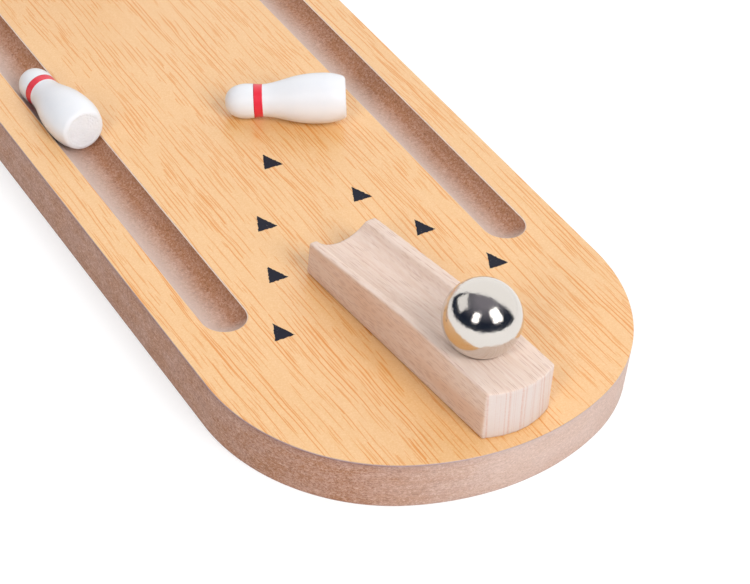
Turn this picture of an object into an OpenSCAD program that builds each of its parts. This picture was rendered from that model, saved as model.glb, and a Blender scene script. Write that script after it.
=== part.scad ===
// Table bowling game: a board with rounded ends and a gutter down each side, a swivelling
// ramp that holds a steel ball, and ten turned pins, two of them lying where they fell.
// Millimetres, +Z up. The origin is the middle of the board's underside, on the surface
// that the board rests on, and +Y runs down the lane, from the ramp to the pins.

/* [Board] */
// Length of the board, from tip to tip
board_l = 340; // [320:1:420]
// Width of the board
board_w = 130; // [124:1:150]
// Thickness of the fibreboard core
core_t = 15; // [12:0.1:22]
// Thickness of the wood-grain sheet on top of the core
sheet_t = 0.3; // [0.2:0.05:0.8]
// Radius of the board's four corners, seen from above
corner_r = 54.7; // [46:0.1:58]
// Radius of the flatter arc across each end of the board
end_r = 82; // [76:0.5:110]

/* [Gutters] */
// Radius of the round-nosed cutter that sinks a gutter
cutter_r = 8; // [6:0.1:10]
// Depth of a gutter in its middle
gutter_depth = 3.9; // [2:0.1:5.5]
// Distance from the board's side to the middle of its gutter
gutter_inset = 17.7; // [15:0.1:21]
// Distance from the near tip of the board to where the cutter starts
gutter_near = 79.7; // [66:0.1:110]
// Distance from where the cutter stops to the far tip of the board
gutter_far = 52; // [50:0.1:90]

/* [Printing] */
// Thickness of the printed ink
ink_t = 0.05; // [0.03:0.01:0.1]
// Width of an aiming triangle's base
mark_w = 6.1; // [3:0.1:9]
// Length of an aiming triangle, from base to point
mark_l = 6.35; // [3:0.05:9]
// How far the print sits off the board's middle line
print_shift = -0.75; // [-2:0.05:2]
// Distance from the near tip of the board to the middle triangle
first_mark = 134.8; // [100:0.1:150]
// Radius of a printed spot that a pin is set up on
spot_r = 2; // [1:0.1:4]

/* [Ramp] */
// Width of the ramp
ramp_w = 23.4; // [22:0.1:28]
// Height of the ramp where its back is level
ramp_h = 15.3; // [13:0.1:20]
// Height of the ramp's top edge at its mouth
mouth_h = 10.7; // [8:0.1:12]
// Length of the ramp in front of its pivot
ramp_front = 61.5; // [50:0.1:80]
// Length of the ramp behind its pivot
ramp_back = 21.2; // [18:0.1:24]
// Length of the level back in front of the pivot
level_l = 16.8; // [8:0.1:24]
// Radius of the ramp's round back end, seen from above
back_end_r = 25; // [16:0.1:60]
// Lean of the ramp's back end towards the mouth, in degrees
end_lean = 2.5; // [0:0.1:5]
// Angle that the ramp is turned to the left of the lane, in degrees
ramp_turn = 5; // [-25:1:25]
// Gap between the ramp and the sheet that it turns on
ramp_gap = 0.15; // [0.1:0.01:0.4]
// Distance from the near tip of the board to the pivot
pivot_inset = 25.5; // [22:0.1:45]

/* [Ball and groove] */
// Diameter of the steel ball
ball_d = 22; // [19:0.1:22.4]
// Radius of the groove
groove_r = 11.4; // [11.3:0.05:13]
// Depth of the groove below the ramp's sloping top
groove_depth = 4; // [3:0.1:5]
// How far the groove lies off the ramp's middle line
groove_shift = -0.65; // [-1.5:0.05:1.5]
// How far behind the pivot the groove's round end is
seat_back = 1.1; // [-4:0.1:4]
// Gap between the ball and the groove's floor
ball_gap = 0.1; // [0.05:0.01:0.2]

/* [Pins] */
// Height of a pin
pin_h = 37.2; // [34:0.1:44]
// Radius of a pin's flat base
pin_base_r = 6.3; // [5:0.05:7]
// Radius of a pin's belly
belly_r = 7.8; // [7.5:0.05:8.8]
// Height of the belly's widest ring
belly_z = 7.1; // [5:0.1:10]
// Radius of a pin's neck
neck_r = 5; // [4:0.05:5.2]
// Height of the neck's narrowest ring
neck_z = 26.1; // [22:0.1:27]
// Radius of a pin's head
head_r = 5.4; // [5.3:0.05:6.5]
// Height of the head's widest ring
head_z = 30.2; // [28.5:0.1:32]
// Height of the painted band's lower edge
band_z = 25.6; // [20:0.1:25.9]
// Width of the painted band
band_w = 2.7; // [2:0.1:3]
// Thickness of the painted band
band_t = 0.05; // [0.03:0.01:0.1]
// Distance between neighbouring pins
pin_pitch = 20; // [17:0.1:21]
// Distance from the far tip of the board to the last row of pins
deck_inset = 40; // [34:0.5:80]

/* [Fallen pins] */
// Pin that lies on the lane
lane_pin = 1; // [1:1:10]
// Pin that lies in the left gutter
gutter_pin = 2; // [1:1:10]
// How far right of the middle the base of the pin on the lane lies
lane_pin_x = 30.75; // [20:0.25:32]
// Distance from the near tip of the board to the base of the pin on the lane
lane_pin_y = 143.8; // [130:0.1:180]
// Way that the head of the pin on the lane points, in degrees from +X
lane_pin_turn = 150; // [120:1:200]
// Distance from the near tip of the board to the base of the pin in the gutter
gutter_pin_y = 166.5; // [140:0.1:200]
// Turn of the pin in the gutter from the gutter's own line, in degrees
gutter_pin_turn = 1.5; // [-1.5:0.1:1.5]

/* [Pivot screw] */
// Radius of the screw's shank
screw_r = 2; // [1.5:0.1:2.5]
// Length of the screw that is driven into the ramp
screw_bite = 9; // [6:0.5:9.5]
// Clearance between the shank and the hole that it turns in
shank_clearance = 0.1; // [0.05:0.01:0.1]
// Radius of the screw's head
screw_head_r = 4; // [3.5:0.1:4.5]
// Height of the screw's head
screw_head_h = 2.8; // [2:0.1:3.5]
// Radius of the washer
washer_r = 5.5; // [5:0.1:6]
// Thickness of the washer
washer_t = 1.2; // [0.8:0.1:1.6]
// Radius of the counterbore under the board
counterbore_r = 6.2; // [6.1:0.1:8]
// Depth of the counterbore under the board
counterbore_depth = 6; // [5.5:0.1:7]

/* [Hidden] */
$fn = 96;
PINS = [1:10];

// A cut runs this far past the face that it opens
past = 1;
top_z = core_t + sheet_t;
near_tip = -board_l / 2;
far_tip = board_l / 2;

// Middle of a corner's arc, and where the two arcs of an end share a tangent
corner_x = board_w / 2 - corner_r;
end_centre_y = board_l / 2 - end_r;
corner_y = end_centre_y + sqrt(pow(end_r - corner_r, 2) - pow(corner_x, 2));

gutter_x = board_w / 2 - gutter_inset;
gutter_start = near_tip + gutter_near;
gutter_end = far_tip - gutter_far;
cutter_up = cutter_r - gutter_depth;
gutter_half = sqrt(pow(cutter_r, 2) - pow(cutter_up, 2));

pivot_y = near_tip + pivot_inset;
ramp_z = top_z + ramp_gap;
slope = atan((ramp_h - mouth_h) / (ramp_front - level_l));
ball_r = ball_d / 2;

// The triangles stand in a chevron: three to each side of the middle one
mark_steps = [[16.3, -25.1], [25, -46.5], [35.85, -68.6]];

row_pitch = pin_pitch * sin(60);
deck_back = far_tip - deck_inset;
stand_z = top_z + ink_t;

// Gaps that keep a fallen pin clear of what it lies on
lane_rest = 0.05;
gutter_rest = 0.1;

// Eases from 0 to 1 with no slope at either end
function ease(u) = (1 - cos(180 * u)) / 2;

// Outline of a pin: an arc up to the belly, an easy taper to the neck, a slight swell to
// the head and a blunt round crown
belly_arc_r = (pow(belly_z, 2) + pow(belly_r - pin_base_r, 2)) / (2 * (belly_r - pin_base_r));
taper_lag = 1.35;
crown_power = 2.3;
function foot_radius(z) = belly_r - belly_arc_r + sqrt(pow(belly_arc_r, 2) - pow(belly_z - z, 2));
function body_radius(z) =
    belly_r - (belly_r - neck_r) * ease(pow((z - belly_z) / (neck_z - belly_z), taper_lag));
function throat_radius(z) = neck_r + (head_r - neck_r) * ease((z - neck_z) / (head_z - neck_z));
function crown_radius(z) =
    head_r * pow(max(0, 1 - pow((z - head_z) / (pin_h - head_z), crown_power)), 1 / crown_power);
function pin_radius(z) =
    z < belly_z ? foot_radius(z) :
    z < neck_z ? body_radius(z) :
    z < head_z ? throat_radius(z) : crown_radius(z);

// Heights at which the outline has a point; the band's two edges are among them
function rises(low, high, steps) = [for (i = [0:steps - 1]) low + (high - low) * i / steps];
band_top = band_z + band_w;
band_heights = concat(rises(band_z, band_top, 5), [band_top]);
crown_heights = [for (i = [0:9]) head_z + (pin_h - head_z) * sin(9 * i)];
pin_heights = concat(
    rises(0, belly_z, 5),
    rises(belly_z, band_z, 13),
    rises(band_z, band_top, 5),
    rises(band_top, head_z, 3),
    crown_heights
);
pin_outline = [for (z = pin_heights) [pin_radius(z), z]];

// How high the base's middle lies when a pin tips head down by an angle, on the flat lane
// and along the gutter, by its belly and by its head
belly_points = [for (p = pin_outline) if (p[1] < neck_z) p];
head_points = [for (p = pin_outline) if (p[1] >= neck_z) p];
function flat_height(points, tip) = max([for (p = points) p[1] * sin(tip) + p[0] * cos(tip)]);
function gutter_height(points, tip) =
    max([for (p = points) p[1] * sin(tip) + bed_height(p[0], (p[1] - belly_z) * sin(gutter_pin_turn))]);

// How high above the lane a round of a given radius lies in the gutter, some way off its
// middle: on its floor where the round is the smaller, or else on its two edges
function bed_height(r, off) =
    r + abs(off) < cutter_r ?
        cutter_up - sqrt(pow(cutter_r - r, 2) - pow(off, 2)) :
        sqrt(pow(r, 2) - pow(gutter_half - abs(off), 2));

// The tip at which belly and head both touch, found by halving the range it lies in
halvings = 14;
function flat_lead(tip) = flat_height(belly_points, tip) - flat_height(head_points, tip);
function gutter_lead(tip) = gutter_height(belly_points, tip) - gutter_height(head_points, tip);
function lane_tip(low, high, n) =
    n == 0 ? (low + high) / 2 :
    flat_lead((low + high) / 2) > 0 ?
        lane_tip((low + high) / 2, high, n - 1) : lane_tip(low, (low + high) / 2, n - 1);
function gutter_tip(low, high, n) =
    n == 0 ? (low + high) / 2 :
    gutter_lead((low + high) / 2) > 0 ?
        gutter_tip((low + high) / 2, high, n - 1) : gutter_tip(low, (low + high) / 2, n - 1);
most_tip = 20;
lane_pin_tip = lane_tip(0, most_tip, halvings);
gutter_pin_tip = gutter_tip(0, most_tip, halvings);

// Row of a pin in the triangle, counted from the head pin, and its place in that row
last_row = 3;
function pin_row(n) = n == 1 ? 0 : n <= 3 ? 1 : n <= 6 ? 2 : last_row;
function place_in_row(n) = n - 1 - pin_row(n) * (pin_row(n) + 1) / 2;
function spot(n) = [
    (place_in_row(n) - pin_row(n) / 2) * pin_pitch,
    deck_back - (last_row - pin_row(n)) * row_pitch
];

// Board seen from above: four corner arcs joined by straight sides and a flatter arc
// across each end
module board_outline() {
    square([board_w, 2 * corner_y], center = true);
    for (side = [-1, 1], end = [-1, 1])
        translate([side * corner_x, end * corner_y])
            circle(r = corner_r);
    for (end = [-1, 1])
        intersection() {
            translate([0, end * end_centre_y])
                circle(r = end_r);
            end_wedge(end);
        }
}

// Wedge between the two tangent points of an end's flatter arc
module end_wedge(end) {
    past_tangent = 1.2;
    reach = past_tangent * end_r / (end_r - corner_r);
    far_y = end_centre_y + reach * (corner_y - end_centre_y);
    polygon([
        [0, end * end_centre_y],
        [reach * corner_x, end * far_y],
        [-reach * corner_x, end * far_y]
    ]);
}

// What the round-nosed cutter takes out of the board
module gutter_cut() {
    for (side = [-1, 1])
        translate([side * gutter_x, gutter_start, top_z + cutter_up]) {
            sphere(r = cutter_r);
            rotate([-90, 0, 0])
                cylinder(r = cutter_r, h = gutter_end - gutter_start);
            translate([0, gutter_end - gutter_start, 0])
                sphere(r = cutter_r);
        }
}

// Hole that the screw's shank turns in
module shank_hole() {
    translate([0, pivot_y, -past])
        cylinder(r = screw_r + shank_clearance, h = top_z + 2 * past);
}

// Round recess that hides the screw's head and the washer
module counterbore() {
    translate([0, pivot_y, -past])
        cylinder(r = counterbore_r, h = counterbore_depth + past);
}

module board_core() {
    color("#b08c7b")
        difference() {
            linear_extrude(core_t)
                board_outline();
            gutter_cut();
            shank_hole();
            counterbore();
        }
}

module top_sheet() {
    color("#f2c48c")
        difference() {
            translate([0, 0, core_t])
                linear_extrude(sheet_t)
                    board_outline();
            gutter_cut();
            shank_hole();
        }
}

// One printed triangle, its point towards the pins and its middle at the origin
module mark() {
    linear_extrude(ink_t)
        polygon([
            [-mark_w / 2, -mark_l / 3],
            [mark_w / 2, -mark_l / 3],
            [0, 2 * mark_l / 3]
        ]);
}

module aiming_triangles() {
    color("#2b2b30")
        translate([print_shift, near_tip + first_mark, top_z]) {
            mark();
            for (step = mark_steps, side = [-1, 1])
                translate([side * step[0], step[1], 0])
                    mark();
        }
}

module pin_spots() {
    color("#2b2b30")
        for (n = PINS)
            translate([spot(n)[0], spot(n)[1], top_z])
                cylinder(r = spot_r, h = ink_t);
}

// Puts its children in the ramp's own frame: the origin on the pivot at the ramp's
// underside, +Y towards the mouth
module on_ramp() {
    translate([0, pivot_y, ramp_z])
        rotate([0, 0, ramp_turn])
            children();
}

// Puts its children on the ramp's slope: the origin on the line of the sloping top above
// the groove's round end, +Y down the slope
module on_slope() {
    slope_z = mouth_h + (ramp_front + seat_back) * tan(slope);
    translate([groove_shift, -seat_back, slope_z])
        rotate([-slope, 0, 0])
            children();
}

// Ramp seen from the side, level at the back and sloping down to the mouth
module ramp_side() {
    polygon([
        [-ramp_back, 0],
        [ramp_front, 0],
        [ramp_front, mouth_h],
        [level_l, ramp_h],
        [-ramp_back, ramp_h]
    ]);
}

// Space inside the round back end, which leans a little, open towards the mouth
module back_end() {
    rotate([-end_lean, 0, 0])
        translate([0, back_end_r - ramp_back, -past])
            cylinder(r = back_end_r, h = ramp_h + 3 * past);
    translate([-ramp_w, 0, -past])
        cube([2 * ramp_w, ramp_front + past, ramp_h + 2 * past]);
}

module groove_cut() {
    on_slope()
        translate([0, 0, groove_r - groove_depth]) {
            sphere(r = groove_r);
            rotate([-90, 0, 0])
                cylinder(r = groove_r, h = ramp_front + seat_back + groove_r);
        }
}

module ramp() {
    color("#e6d0bf")
        on_ramp()
            difference() {
                intersection() {
                    translate([-ramp_w / 2, 0, 0])
                        rotate([90, 0, 90])
                            linear_extrude(ramp_w)
                                ramp_side();
                    back_end();
                }
                groove_cut();
                translate([0, 0, -past])
                    cylinder(r = screw_r, h = screw_bite + past);
            }
}

module pivot_screw() {
    washer_under = counterbore_depth - washer_t - shank_clearance;
    slot_w = 1;
    slot_l = 1.2 * screw_head_r;
    slot_depth = 1.4;
    color("#b9bcc0")
        translate([0, pivot_y, 0])
            difference() {
                union() {
                    translate([0, 0, washer_under - screw_head_h])
                        cylinder(r = screw_head_r, h = screw_head_h);
                    translate([0, 0, washer_under - past])
                        cylinder(r = screw_r, h = ramp_z + screw_bite - washer_under + past);
                }
                for (turn = [0, 90])
                    rotate([0, 0, turn])
                        translate([-slot_l / 2, -slot_w / 2, washer_under - screw_head_h - past])
                            cube([slot_l, slot_w, slot_depth + past]);
            }
}

module pivot_washer() {
    color("#c9ccd0")
        translate([0, pivot_y, counterbore_depth - washer_t])
            difference() {
                cylinder(r = washer_r, h = washer_t);
                translate([0, 0, -past])
                    cylinder(r = screw_r + shank_clearance, h = washer_t + 2 * past);
            }
}

module ball() {
    color("silver")
        on_ramp()
            on_slope()
                translate([0, 0, ball_r + ball_gap - groove_depth])
                    sphere(r = ball_r);
}

// Puts its children where a pin is, with its base at the origin and its head up +Z
module place_pin(n) {
    if (n == lane_pin)
        translate([
            lane_pin_x,
            near_tip + lane_pin_y,
            top_z + flat_height(pin_outline, lane_pin_tip) + lane_rest
        ])
            rotate([0, 90 + lane_pin_tip, lane_pin_turn])
                children();
    else if (n == gutter_pin)
        translate([
            belly_z * sin(gutter_pin_turn) - gutter_x,
            near_tip + gutter_pin_y,
            top_z + gutter_height(pin_outline, gutter_pin_tip) + gutter_rest
        ])
            rotate([0, 90 + gutter_pin_tip, 90 + gutter_pin_turn])
                children();
    else
        translate([spot(n)[0], spot(n)[1], stand_z])
            children();
}

module pin(n) {
    color("#f4f1ef")
        place_pin(n)
            rotate_extrude()
                polygon(concat([[0, 0]], pin_outline, [[0, pin_h]]));
}

module pin_band(n) {
    inner = [for (z = band_heights) [pin_radius(z), z]];
    outer = [for (i = [len(inner) - 1:-1:0]) inner[i] + [band_t, 0]];
    color("#e23b3d")
        place_pin(n)
            rotate_extrude()
                polygon(concat(inner, outer));
}

board_core();
top_sheet();
aiming_triangles();
pin_spots();
ramp();
pivot_screw();
pivot_washer();
ball();
for (n = PINS) {
    pin(n);
    pin_band(n);
}
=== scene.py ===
"""Table bowling game: board, swivelling ramp, steel ball and turned pins, dressed round their
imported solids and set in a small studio."""

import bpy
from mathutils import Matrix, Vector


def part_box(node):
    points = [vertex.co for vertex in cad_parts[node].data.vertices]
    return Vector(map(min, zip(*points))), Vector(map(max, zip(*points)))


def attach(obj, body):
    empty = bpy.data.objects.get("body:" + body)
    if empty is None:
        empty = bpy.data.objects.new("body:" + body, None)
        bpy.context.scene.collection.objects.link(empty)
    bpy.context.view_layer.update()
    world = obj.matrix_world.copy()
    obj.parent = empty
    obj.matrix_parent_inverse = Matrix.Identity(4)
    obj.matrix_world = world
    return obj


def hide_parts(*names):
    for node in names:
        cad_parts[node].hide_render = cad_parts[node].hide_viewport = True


bl_info = {
    "name": "Table Bowling Game",
    "version": (1, 0, 0),
    "blender": (4, 5, 0),
    "location": "3D View > Sidebar > Bowling",
    "description": "Dresses a table bowling game: board, ramp, ball and pins, with its studio",
    "category": "Add Mesh",
}

import math

import bmesh
import bpy
import numpy as np
from bpy.props import FloatProperty, FloatVectorProperty, IntProperty, PointerProperty
from mathutils import Matrix, Vector

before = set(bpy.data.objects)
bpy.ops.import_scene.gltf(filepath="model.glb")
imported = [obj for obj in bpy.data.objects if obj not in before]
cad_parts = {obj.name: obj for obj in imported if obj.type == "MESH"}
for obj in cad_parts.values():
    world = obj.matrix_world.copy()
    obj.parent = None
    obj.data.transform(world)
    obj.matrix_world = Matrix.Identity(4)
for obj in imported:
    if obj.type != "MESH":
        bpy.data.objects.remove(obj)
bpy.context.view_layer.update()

MM = 0.001
PINS = range(1, 11)

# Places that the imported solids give
CORE_LOW, CORE_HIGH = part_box("board_core")
SHEET_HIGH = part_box("top_sheet")[1]
INK_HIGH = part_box("pin_spots")[1]
RAMP_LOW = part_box("ramp")[0]
SCREW_LOW, SCREW_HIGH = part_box("pivot_screw")
WASHER_LOW, WASHER_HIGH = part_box("pivot_washer")
BALL_LOW, BALL_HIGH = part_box("ball")
PIVOT = ((SCREW_LOW + SCREW_HIGH) / 2).xy
STANDING_PIN = "pin_10"
PIN_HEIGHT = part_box(STANDING_PIN)[1].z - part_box(STANDING_PIN)[0].z


def linear(code):
    """Turns an sRGB hex colour into Blender's linear red, green, blue and alpha."""
    shares = [int(code[i : i + 2], 16) / 255 for i in (1, 3, 5)]
    return [s / 12.92 if s <= 0.04045 else ((s + 0.055) / 1.055) ** 2.4 for s in shares] + [1.0]


def length(name, description, default):
    """A length in metres that a user may change, given in millimetres."""
    return FloatProperty(name=name, description=description, default=default * MM, min=0.0, unit="LENGTH")


def colour(name, description, default):
    """A colour that a user may change, given as an sRGB hex value."""
    return FloatVectorProperty(
        name=name,
        description=description,
        default=linear(default),
        size=4,
        subtype="COLOR",
        min=0.0,
        max=1.0,
    )


def turn(name, description, default):
    """An angle that a user may change, given in degrees."""
    return FloatProperty(name=name, description=description, default=math.radians(default), unit="ROTATION")


# Sizes and colours that a user would change


class BoardSettings(bpy.types.PropertyGroup):
    """Outline, gutters and colours of the board"""

    corner_radius: length("Corner radius", "Radius of the four corners, seen from above", 54.7)
    end_radius: length("End radius", "Radius of the arc across each end", 82)
    edge_round: length("Edge round", "Rounding along the board's lower edge", 0.4)
    cutter_radius: length("Cutter radius", "Radius of the cutter that sinks a gutter", 8)
    gutter_depth: length("Gutter depth", "Depth of a gutter in its middle", 3.9)
    gutter_inset: length("Gutter inset", "From the board's side to the middle of a gutter", 17.7)
    gutter_near: length("Gutter start", "From the near tip to where the cutter starts", 79.7)
    gutter_far: length("Gutter end", "From where the cutter stops to the far tip", 52)
    rim_wear: length("Rim wear", "Worn chamfer on the sheet's cut edges", 0.1)
    counterbore_radius: length("Counterbore radius", "Radius of the recess under the pivot", 6.2)
    hole_radius: length("Hole radius", "Radius of the hole that the screw turns in", 2.1)
    sheet_colour: colour("Sheet", "Ground colour of the wood-grain sheet", "#E9B980")
    grain_colour: colour("Grain", "Colour of the printed grain strokes", "#DC8608")
    core_colour: colour("Fibreboard", "Middle colour of the fibreboard", "#A06B47")
    fibre_colour: colour("Fibres", "Colour of the fibreboard's pale fibres", "#CFAE9E")
    speck_colour: colour("Specks", "Colour of the fibreboard's dark specks", "#6E4630")


class PrintSettings(bpy.types.PropertyGroup):
    """Aiming triangles and pin spots"""

    mark_width: length("Triangle width", "Width of a triangle's base", 6.35)
    mark_length: length("Triangle length", "Length from base to point", 6.6)
    spot_radius: length("Spot radius", "Radius of a pin spot", 2)
    ragged: length("Ragged edge", "How far the ink's edge strays over the grain", 0.5)
    ink_colour: colour("Ink", "Colour of the printed ink", "#1A1C2A")


class RampSettings(bpy.types.PropertyGroup):
    """Shape and colours of the ramp"""

    width: length("Width", "Width of the ramp", 23.4)
    height: length("Height", "Height of the level back", 15.3)
    mouth_height: length("Mouth height", "Height of the top edge at the mouth", 10.7)
    front: length("Front", "Length in front of the pivot", 61.5)
    back: length("Back", "Length behind the pivot", 21.2)
    level: length("Level back", "Length of the level back in front of the pivot", 16.8)
    back_radius: length("Back end radius", "Radius of the round back end, seen from above", 25)
    lean: turn("Back end lean", "Lean of the back end towards the mouth", 2.5)
    turned: turn("Turn", "Turn of the ramp to the left of the lane", 5)
    groove_radius: length("Groove radius", "Radius of the groove", 11.4)
    groove_depth: length("Groove depth", "Depth of the groove below the sloping top", 4)
    groove_shift: length("Groove shift", "How far left of the middle the groove lies", 0.65)
    seat_back: length("Seat", "How far behind the pivot the groove's round end is", 1.1)
    sanding: IntProperty(name="Sanding", description="Passes that round the edges over", default=14, min=0)
    wood_colour: colour("Beech", "Ground colour of the beech", "#EAD6C9")
    ring_colour: colour("Growth rings", "Colour of the growth rings' dense wood", "#C99C8A")
    ray_colour: colour("Rays", "Colour of the short dark rays", "#A87660")


class PivotSettings(bpy.types.PropertyGroup):
    """Screw and washer under the ramp"""

    screw_radius: length("Screw radius", "Radius of the screw's shank", 2)
    head_radius: length("Head radius", "Radius of the screw's head", 4)
    head_height: length("Head height", "Height of the screw's head", 2.8)
    recess_width: length("Recess width", "Width of one arm of the cross recess", 1)
    recess_depth: length("Recess depth", "Depth of the cross recess", 1.4)
    washer_hole: length("Washer hole", "Radius of the washer's hole", 2.1)
    steel_colour: colour("Steel", "Colour of the zinc-plated steel", "#C4C6C9")


class BallSettings(bpy.types.PropertyGroup):
    """The steel ball"""

    diameter: length("Diameter", "Diameter of the ball", 22)
    steel_colour: colour("Steel", "Colour of the polished steel", "#D9D3CC")


class PinSettings(bpy.types.PropertyGroup):
    """Outline and paint of a pin"""

    base_radius: length("Base radius", "Radius of the flat base", 6.3)
    belly_radius: length("Belly radius", "Radius of the widest ring", 7.8)
    belly_height: length("Belly height", "Height of the widest ring", 7.1)
    neck_radius: length("Neck radius", "Radius of the narrowest ring", 5)
    neck_height: length("Neck height", "Height of the narrowest ring", 26.1)
    head_radius: length("Head radius", "Radius of the head", 5.4)
    head_height: length("Head height", "Height of the head's widest ring", 30.2)
    base_round: length("Base rounding", "Rounding round the base", 0.9)
    band_height: length("Band height", "Height of the band's lower edge", 25.6)
    band_width: length("Band width", "Width of the band", 2.7)
    film: length("Paint thickness", "Thickness of the painted band", 0.05)
    white_colour: colour("White", "Colour of the white enamel", "#E9EAED")
    red_colour: colour("Red", "Colour of the red band", "#E12A3E")


class StudioSettings(bpy.types.PropertyGroup):
    """Camera and floor"""

    lens: FloatProperty(
        name="Lens", description="Focal length on a 36 mm sensor", default=107.13, unit="CAMERA"
    )
    camera: FloatVectorProperty(
        name="Camera",
        description="Place of the camera",
        default=(-0.28968, -0.48944, 0.42211),
        subtype="TRANSLATION",
    )
    heading: turn("Heading", "Turn of the view to the right of the lane", 36.3)
    pitch: turn("Pitch", "How far the view looks down", 40.11)
    roll: turn("Roll", "Turn of the picture", 6.82)
    floor_colour: colour("Floor", "Colour of the paper floor", "#B4B4B4")
    floor_glow: FloatProperty(
        name="Floor glow", description="Light that the floor gives off", default=0.6, min=0.0
    )


# Nodes


class Value:
    """An output of a node in a written sum, in which each sign or function adds a Math node."""

    def __init__(self, socket):
        self.socket = socket

    def math(self, operation, *terms):
        """Adds a Math node for the terms, or for this value alone."""
        values = dict(enumerate(terms or (self,)))
        return add(self.socket.id_data, "ShaderNodeMath", values, 0, operation=operation)

    def __add__(self, other):
        return self.math("ADD", self, other)

    def __sub__(self, other):
        return self.math("SUBTRACT", self, other)

    def __rsub__(self, other):
        return self.math("SUBTRACT", other, self)

    def __mul__(self, other):
        return self.math("MULTIPLY", self, other)

    def __truediv__(self, other):
        return self.math("DIVIDE", self, other)

    def __rtruediv__(self, other):
        return self.math("DIVIDE", other, self)

    def __pow__(self, other):
        return self.math("POWER", self, other)

    def __abs__(self):
        return self.math("ABSOLUTE")

    __radd__, __rmul__ = __add__, __mul__

    def least(self, other):
        """The smaller of the two."""
        return self.math("MINIMUM", self, other)

    def most(self, other):
        """The larger of the two."""
        return self.math("MAXIMUM", self, other)

    def over(self, other):
        """1 where it is over the other, and 0 elsewhere."""
        return self.math("GREATER_THAN", self, other)

    def under(self, other):
        """1 where it is under the other, and 0 elsewhere."""
        return self.math("LESS_THAN", self, other)

    def rising(self, low, high):
        """From 0 to 1 as it goes from low to high."""
        ends = {"Value": self, "From Min": low, "From Max": high}
        return add(self.socket.id_data, "ShaderNodeMapRange", ends, 0)


def add(tree, kind, inputs=None, output=None, **settings):
    """Adds a node with its settings, its numbers and the sockets that feed it. Gives back the
    node, or one of its outputs."""
    node = tree.nodes.new(kind)
    for name, value in settings.items():
        setattr(node, name, value)
    for key, value in (inputs or {}).items():
        if isinstance(value, Value):
            tree.links.new(value.socket, node.inputs[key])
        else:
            node.inputs[key].default_value = value
    return node if output is None else Value(node.outputs[output])


def millimetres(tree, scale=(1, 1, 1), turned=0.0, centre=(0, 0, 0)):
    """A piece's own coordinates in millimetres, turned about a point and then stretched."""
    place = add(tree, "ShaderNodeTexCoord", {}, "Object")
    if turned:
        back = Vector(centre) - Matrix.Rotation(-turned, 3, "Z") @ Vector(centre)
        straight = {"Vector": place, "Rotation": (0, 0, -turned), "Location": back}
        place = add(tree, "ShaderNodeMapping", straight, 0)
    return add(tree, "ShaderNodeMapping", {"Vector": place, "Scale": [share / MM for share in scale]}, 0)


def strokes(tree, across, along, spacing, run, half, share, seed):
    """Thin tapered strokes, one to a cell: up to 1 on a stroke and 0 between them. Spacing and
    run are a cell's width and length, half is half a stroke's width, all in millimetres, and
    share is how many of the cells hold a stroke."""
    lane = across / spacing + seed
    column = lane.math("FLOOR")
    # Each column of cells is moved along by up to 31 of them, so that no strokes line up
    shift = add(tree, "ShaderNodeTexWhiteNoise", {"W": column}, 0, noise_dimensions="1D")
    place = along / run + shift * 31
    cell = add(tree, "ShaderNodeCombineXYZ", {"X": column, "Y": place.math("FLOOR"), "Z": seed}, 0)
    picks = add(tree, "ShaderNodeTexWhiteNoise", {"Vector": cell}, "Color")
    first, second, third = (add(tree, "ShaderNodeSeparateColor", {"Color": picks}, i) for i in range(3))
    there = first.under(share)
    # A stroke fills 0.4 to 1 of its cell's run, and lies in the middle half of its width. Its
    # edges are soft, and it is 0.5 to 1 strong
    taper = 1 - (abs(place.math("FRACT") - 0.5) * 2 / (0.4 + 0.6 * second)).least(1) ** 3
    aside = abs(lane.math("FRACT") - 0.25 - 0.5 * third) * spacing
    return ((half * taper - aside) / half).rising(-0.25, 0.4) * there * (0.5 + 0.5 * second)


def new_material(name):
    """An empty material and its node tree."""
    material = bpy.data.materials.new(name)
    material.use_nodes = True
    material.node_tree.nodes.clear()
    return material, material.node_tree


def surface(tree, ground, coats, finish, height=None, strength=1.0, distance=1.0):
    """Ends a material in its shader. Its ground colour has others laid over it, each by a share
    from 0 to 1. Where it has a relief, the bump follows a height, of which 1 stands for the
    distance in millimetres."""
    for share, tone in coats:
        laid = {"Factor": share, "A": ground, "B": tone}
        ground = add(tree, "ShaderNodeMix", laid, "Result", data_type="RGBA")
    if height is not None:
        bump = {"Height": height, "Strength": strength, "Distance": distance * MM}
        finish = {**finish, "Normal": add(tree, "ShaderNodeBump", bump, 0)}
    shader = add(tree, "ShaderNodeBsdfPrincipled", {"Base Color": ground, **finish}, 0)
    add(tree, "ShaderNodeOutputMaterial", {"Surface": shader})


# Materials


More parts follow.
